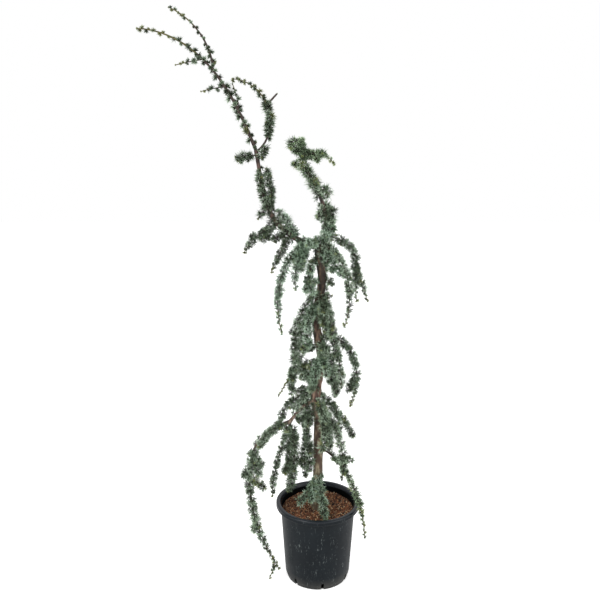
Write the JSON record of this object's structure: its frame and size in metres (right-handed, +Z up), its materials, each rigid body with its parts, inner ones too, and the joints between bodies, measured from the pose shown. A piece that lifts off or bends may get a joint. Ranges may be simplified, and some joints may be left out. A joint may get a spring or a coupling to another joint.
{
  "type": "potted weeping cedar tree",
  "caption": "Young weeping blue cedar with a bending trunk and ropes of needles that hang to the soil, standing in a tapered black nursery pot.",
  "frame": {"origin": "middle of the pot's flat underside", "axes": "+Z up along the trunk, +X to the right seen from the front, +Y away from the front; the tall bough leans to -X"},
  "size_m": [0.7218, 0.3, 1.9634],
  "materials": {
    "pot": "satin black, lightly scuffed",
    "soil": "loose bark chips",
    "bark": "rough, finely fissured bark",
    "needles_grey": "blue-grey needles",
    "needles_blue": "pale blue needles",
    "needles_dark": "dark blue-green needles",
    "needles_green": "fresh green needles"
  },
  "bodies": {
    "root": {"pot": "pot", "soil": "soil", "trunk": "bark", "leader": "bark", "tall_bough_lower": "bark", "tall_bough_upper": "bark", "low_bough_inner": "bark", "low_bough_outer": "bark", "tall_crown": "needles_dark", "fork_arc": "needles_dark", "fork_left": "needles_dark", "fork_right": "needles_dark", "tall_sleeve_left": "needles_dark", "tall_sleeve_right": "needles_dark", "leader_top": "needles_green", "leader_front": "needles_grey", "leader_right": "needles_grey", "leader_low_right": "needles_grey", "leader_back": "needles_grey", "bend_left": "needles_dark", "droop_left": "needles_dark", "droop_mid": "needles_dark", "droop_front": "needles_blue", "bough_sleeve": "needles_blue", "droop_back": "needles_grey", "fork_front": "needles_blue", "right_high": "needles_grey", "right_second": "needles_grey", "right_third": "needles_blue", "right_tuft": "needles_grey", "left_high": "needles_blue", "left_mid": "needles_grey", "left_inner": "needles_blue", "right_mid": "needles_grey", "right_inner": "needles_grey", "right_outer": "needles_grey", "front_upper": "needles_grey", "left_cross": "needles_grey", "front_middle": "needles_blue", "right_low": "needles_grey", "left_short": "needles_grey", "left_hook": "needles_grey", "front_lower": "needles_blue", "left_low": "needles_grey", "low_tail": "needles_grey", "low_sleeve": "needles_grey", "hang_outer": "needles_grey", "hang_middle": "needles_dark", "hang_inner": "needles_grey", "front_right": "needles_grey", "right_a": "needles_grey", "right_b": "needles_grey", "right_whip": "needles_green", "base_left": "needles_blue", "base_front": "needles_blue", "back_high": "needles_grey", "back_mid": "needles_grey", "back_right": "needles_grey", "back_low": "needles_grey", "back_hang": "needles_grey"}
  },
  "joints": []
}
